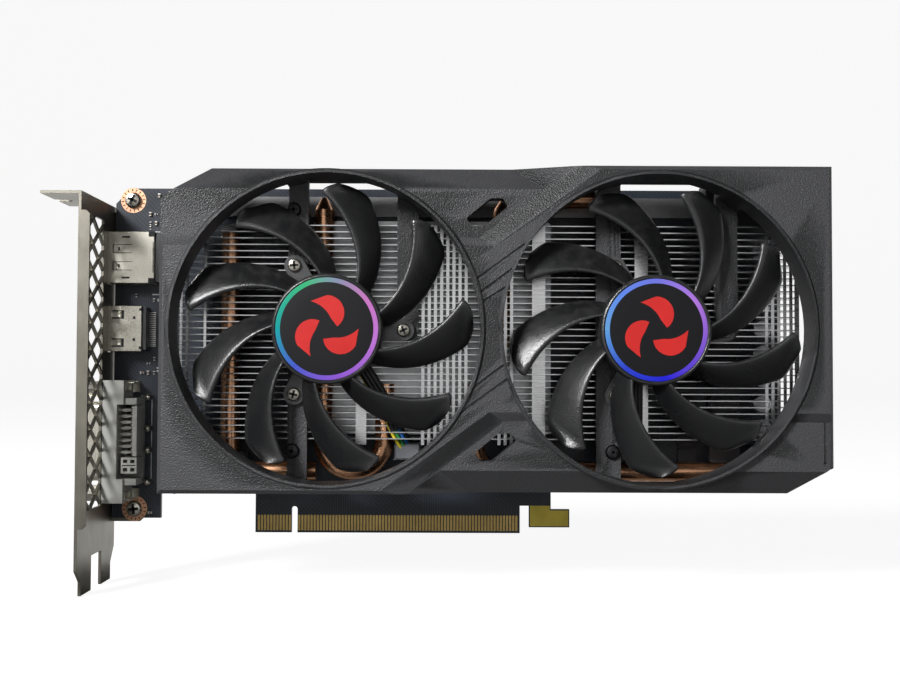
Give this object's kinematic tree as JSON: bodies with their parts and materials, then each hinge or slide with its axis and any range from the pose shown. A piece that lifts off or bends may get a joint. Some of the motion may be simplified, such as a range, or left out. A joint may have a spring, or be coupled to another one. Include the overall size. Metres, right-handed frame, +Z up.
{
  "type": "graphics card",
  "caption": "Dual-fan graphics card: board with edge contacts, finned cooler with heat pipes, black shroud, spinning impellers and a slot bracket with video ports.",
  "frame": {"origin": "centre of the key notch at the foot of the edge contacts, on the board's mid-plane", "axes": "+X along the card away from the bracket, +Y from the fans towards the board's back, +Z up from the card edge"},
  "size_m": [0.2341, 0.0467, 0.128],
  "materials": {
    "board_black": "satin solder mask",
    "contact_gold": "gold plated",
    "bracket_nickel": "satin nickel",
    "screw_nickel": "polished nickel",
    "screw_black": "black oxide",
    "port_steel": "satin nickel",
    "port_black": "moulded",
    "dvi_grey": "moulded",
    "socket_black": "moulded",
    "pin_gold": "gold plated",
    "pin_tin": "tinned",
    "package_green": "satin",
    "die_silicon": "polished",
    "chip_black": "moulded",
    "pad_grey": "soft",
    "inductor_grey": "sintered",
    "capacitor_silver": "satin",
    "header_white": "moulded",
    "fin_aluminium": "bright",
    "base_aluminium": "milled",
    "plate_aluminium": "satin",
    "pipe_copper": "drawn copper",
    "retention_steel": "satin",
    "spring_steel": "bright",
    "shroud_black": "fine grain",
    "fan_black": "satin moulded",
    "label_print": "printed film",
    "rotor_steel": "drawn",
    "magnet_black": "bonded ferrite",
    "shaft_steel": "ground",
    "bearing_bronze": "sintered",
    "coil_copper": "enamelled wire",
    "motor_green": "solder mask",
    "lead_sleeve": "insulated wire",
    "plug_grey": "moulded"
  },
  "bodies": {
    "card": {"circuit_board": "board_black", "edge_contacts": "contact_gold", "slot_bracket": "bracket_nickel", "bracket_screws": "screw_nickel", "displayport_shell": "port_steel", "displayport_core": "port_black", "hdmi_shell": "port_steel", "hdmi_core": "port_black", "hdmi_pins": "pin_tin", "dvi_housing": "dvi_grey", "dvi_shell": "port_steel", "dvi_contacts": "pin_tin", "dvi_jack_nuts": "screw_nickel", "dvi_board_pegs": "pin_tin", "power_socket": "socket_black", "power_pins": "pin_gold", "gpu_package": "package_green", "gpu_die": "die_silicon", "memory_chips": "chip_black", "memory_pads": "pad_grey", "inductors": "inductor_grey", "mosfets": "chip_black", "capacitors": "capacitor_silver", "fan_headers": "header_white", "bios_chip": "chip_black", "clock_crystal": "pin_tin", "board_stiffener": "plate_aluminium", "heatsink_base": "base_aluminium", "heat_pipes": "pipe_copper", "fin_stack": "fin_aluminium", "cooler_posts": "plate_aluminium", "retention_plate": "retention_steel", "retention_screws": "screw_nickel", "retention_springs": "spring_steel", "shroud": "shroud_black", "shroud_screws": "screw_black", "fan_circuits": "motor_green", "fan_screws": "screw_nickel", "left_fan_base": "fan_black", "left_fan_bearing": "bearing_bronze", "left_fan_stator_core": "rotor_steel", "left_fan_coils": "coil_copper", "left_fan_leads": "lead_sleeve", "left_fan_plug": "plug_grey", "right_fan_base": "fan_black", "right_fan_bearing": "bearing_bronze", "right_fan_stator_core": "rotor_steel", "right_fan_coils": "coil_copper", "right_fan_leads": "lead_sleeve", "right_fan_plug": "plug_grey"},
    "left_fan": {"left_fan_impeller": "fan_black", "left_fan_label": "label_print", "left_fan_rotor_cup": "rotor_steel", "left_fan_magnet": "magnet_black", "left_fan_shaft": "shaft_steel"},
    "right_fan": {"right_fan_impeller": "fan_black", "right_fan_label": "label_print", "right_fan_rotor_cup": "rotor_steel", "right_fan_magnet": "magnet_black", "right_fan_shaft": "shaft_steel"}
  },
  "joints": [
    {"name": "left_fan_spin", "type": "hinge", "parent": "card", "child": "left_fan", "pos_m": [0.0131, -0.028, 0.0645], "axis": [0, -1, 0], "continuous": true},
    {"name": "right_fan_spin", "type": "hinge", "parent": "card", "child": "right_fan", "pos_m": [0.1112, -0.028, 0.0645], "axis": [0, -1, 0], "continuous": true}
  ]
}
